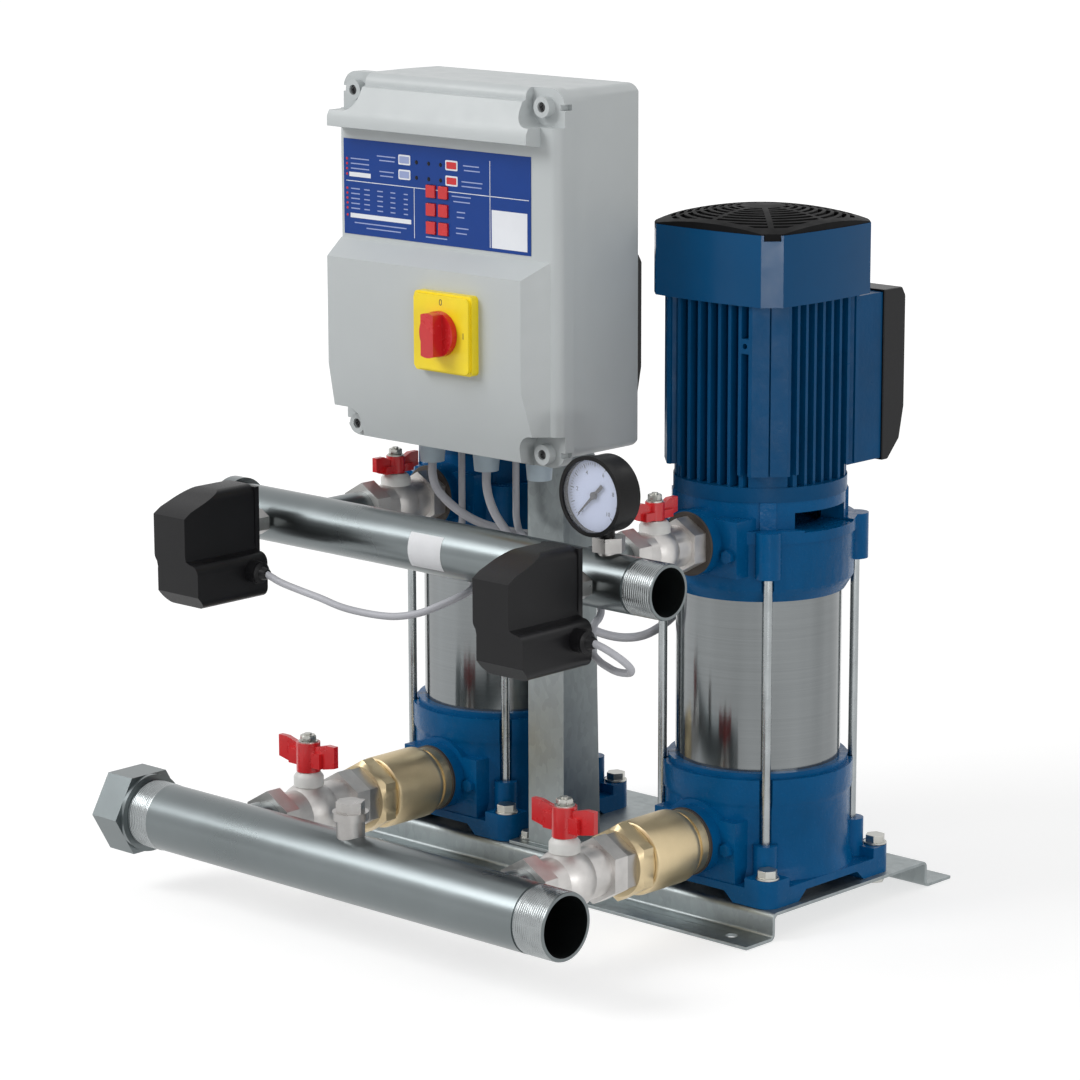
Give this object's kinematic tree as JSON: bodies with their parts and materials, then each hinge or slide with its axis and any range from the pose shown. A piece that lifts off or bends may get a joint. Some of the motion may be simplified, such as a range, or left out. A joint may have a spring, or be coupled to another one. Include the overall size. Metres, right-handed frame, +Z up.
{
  "type": "booster pump set",
  "caption": "Water booster set with vertical multistage pumps side by side, suction and discharge manifolds, valves, gauge, pressure switches and a control panel on a post.",
  "frame": {"origin": "on the floor, at the centre of the four anchor holes of the base plate", "axes": "+Z up along the pump shafts, +X along the manifolds towards their open threaded ends, -Y towards the pipework and the panel's front"},
  "size_m": [0.5827, 0.561, 0.738],
  "materials": {
    "galvanised": "dull galvanised sheet",
    "zinc": "bright zinc fixings",
    "stainless": "drawn stainless, satin",
    "casting_blue": "deep blue paint on cast iron, fine orange peel",
    "motor_blue": "deep blue paint on die-cast aluminium",
    "cowl_blue": "deep blue moulded plastic",
    "black_plastic": "fine grained black plastic",
    "pipe_steel": "pickled stainless pipe, dull grey",
    "bare_steel": "machined steel",
    "nickel": "nickel-plated brass, slightly dull",
    "brass": "cast and turned brass",
    "handle_red": "glossy red coating on cast handle",
    "case_black": "black gauge case",
    "dial_white": "white printed dial",
    "needle_black": "matt black",
    "panel_grey": "light grey plastic, slightly satin",
    "label_blue": "blue film, satin",
    "yellow": "signal yellow plastic",
    "red_plastic": "red plastic",
    "gland_grey": "light grey plastic",
    "cable_grey": "grey cable jacket",
    "winding": "laminated core"
  },
  "bodies": {
    "frame": {"base_plate": "galvanised", "panel_post": "galvanised", "mounting_bolts": "zinc", "pump_1_base_casting": "casting_blue", "pump_2_base_casting": "casting_blue", "sleeves": "stainless", "tie_rods": "stainless", "stage_stacks": "bare_steel", "pump_1_head": "casting_blue", "pump_2_head": "casting_blue", "pump_1_motor_frame": "motor_blue", "pump_2_motor_frame": "motor_blue", "motor_stators": "winding", "pump_1_fan_cowl": "cowl_blue", "pump_2_fan_cowl": "cowl_blue", "pump_1_cowl_grille": "black_plastic", "pump_2_cowl_grille": "black_plastic", "terminal_boxes": "motor_blue", "terminal_covers": "black_plastic", "pump_plugs": "bare_steel", "suction_manifold": "pipe_steel", "suction_end_cap": "pipe_steel", "discharge_manifold": "pipe_steel", "discharge_end_cap": "pipe_steel", "manifold_branches": "pipe_steel", "manifold_fittings": "nickel", "ball_valve_bodies": "nickel", "check_valve_bodies": "brass", "gauge_case": "case_black", "gauge_dial": "dial_white", "switch_bases": "black_plastic", "switch_covers": "black_plastic", "panel_box": "panel_grey", "panel_lid": "panel_grey", "panel_label": "label_blue", "isolator_plate": "yellow", "cable_glands": "gland_grey", "box_glands": "black_plastic", "switch_cable_1": "cable_grey", "switch_cable_2": "cable_grey", "motor_cable_1": "cable_grey", "motor_cable_2": "cable_grey"},
    "suction_handle_1": {"suction_handle_1": "handle_red"},
    "suction_handle_2": {"suction_handle_2": "handle_red"},
    "discharge_handle_1": {"discharge_handle_1": "handle_red"},
    "discharge_handle_2": {"discharge_handle_2": "handle_red"},
    "isolator_knob": {"isolator_knob": "red_plastic"},
    "pump_1_shaft": {"pump_1_rotor": "bare_steel", "pump_1_fan": "black_plastic"},
    "pump_2_shaft": {"pump_2_rotor": "bare_steel", "pump_2_fan": "black_plastic"},
    "check_disc_1": {"check_disc_1": "bare_steel"},
    "check_disc_2": {"check_disc_2": "bare_steel"},
    "gauge_needle": {"gauge_needle": "needle_black"},
    "key_1": {"key_1": "red_plastic"},
    "key_2": {"key_2": "red_plastic"},
    "key_3": {"key_3": "red_plastic"},
    "key_4": {"key_4": "red_plastic"},
    "key_5": {"key_5": "red_plastic"},
    "key_6": {"key_6": "red_plastic"}
  },
  "joints": [
    {"name": "suction_valve_turn_1", "type": "hinge", "parent": "frame", "child": "suction_handle_1", "pos_m": [-0.1575, -0.276, 0.13], "axis": [0, 0, 1], "range_deg": [0, 90]},
    {"name": "discharge_valve_turn_1", "type": "hinge", "parent": "frame", "child": "discharge_handle_1", "pos_m": [-0.1575, -0.161, 0.38], "axis": [0, 0, 1], "range_deg": [0, 90]},
    {"name": "pump_spin_1", "type": "hinge", "parent": "frame", "child": "pump_1_shaft", "pos_m": [-0.1575, -0.02, 0.38], "axis": [0, 0, 1], "continuous": true},
    {"name": "check_lift_1", "type": "slide", "parent": "frame", "child": "check_disc_1", "axis": [0, 1, 0], "range_m": [0, 0.01], "stiffness_N_per_m": 60},
    {"name": "suction_valve_turn_2", "type": "hinge", "parent": "frame", "child": "suction_handle_2", "pos_m": [0.1575, -0.276, 0.13], "axis": [0, 0, 1], "range_deg": [0, 90]},
    {"name": "discharge_valve_turn_2", "type": "hinge", "parent": "frame", "child": "discharge_handle_2", "pos_m": [0.1575, -0.161, 0.38], "axis": [0, 0, 1], "range_deg": [0, 90]},
    {"name": "pump_spin_2", "type": "hinge", "parent": "frame", "child": "pump_2_shaft", "pos_m": [0.1575, -0.02, 0.38], "axis": [0, 0, 1], "continuous": true},
    {"name": "check_lift_2", "type": "slide", "parent": "frame", "child": "check_disc_2", "axis": [0, 1, 0], "range_m": [0, 0.01], "stiffness_N_per_m": 60},
    {"name": "isolator_turn", "type": "hinge", "parent": "frame", "child": "isolator_knob", "pos_m": [-0.025, -0.236, 0.522], "axis": [0, 1, 0], "range_deg": [0, 90]},
    {"name": "needle_swing", "type": "hinge", "parent": "frame", "child": "gauge_needle", "pos_m": [0.206, -0.293, 0.418], "axis": [0, 1, 0], "range_deg": [0, 270], "stiffness_Nm_per_rad": 0.0005},
    {"name": "key_press_1", "type": "slide", "parent": "frame", "child": "key_1", "axis": [0, 1, 0], "range_m": [0, 0.0008], "stiffness_N_per_m": 2500},
    {"name": "key_press_2", "type": "slide", "parent": "frame", "child": "key_2", "axis": [0, 1, 0], "range_m": [0, 0.0008], "stiffness_N_per_m": 2500},
    {"name": "key_press_3", "type": "slide", "parent": "frame", "child": "key_3", "axis": [0, 1, 0], "range_m": [0, 0.0008], "stiffness_N_per_m": 2500},
    {"name": "key_press_4", "type": "slide", "parent": "frame", "child": "key_4", "axis": [0, 1, 0], "range_m": [0, 0.0008], "stiffness_N_per_m": 2500},
    {"name": "key_press_5", "type": "slide", "parent": "frame", "child": "key_5", "axis": [0, 1, 0], "range_m": [0, 0.0008], "stiffness_N_per_m": 2500},
    {"name": "key_press_6", "type": "slide", "parent": "frame", "child": "key_6", "axis": [0, 1, 0], "range_m": [0, 0.0008], "stiffness_N_per_m": 2500}
  ]
}
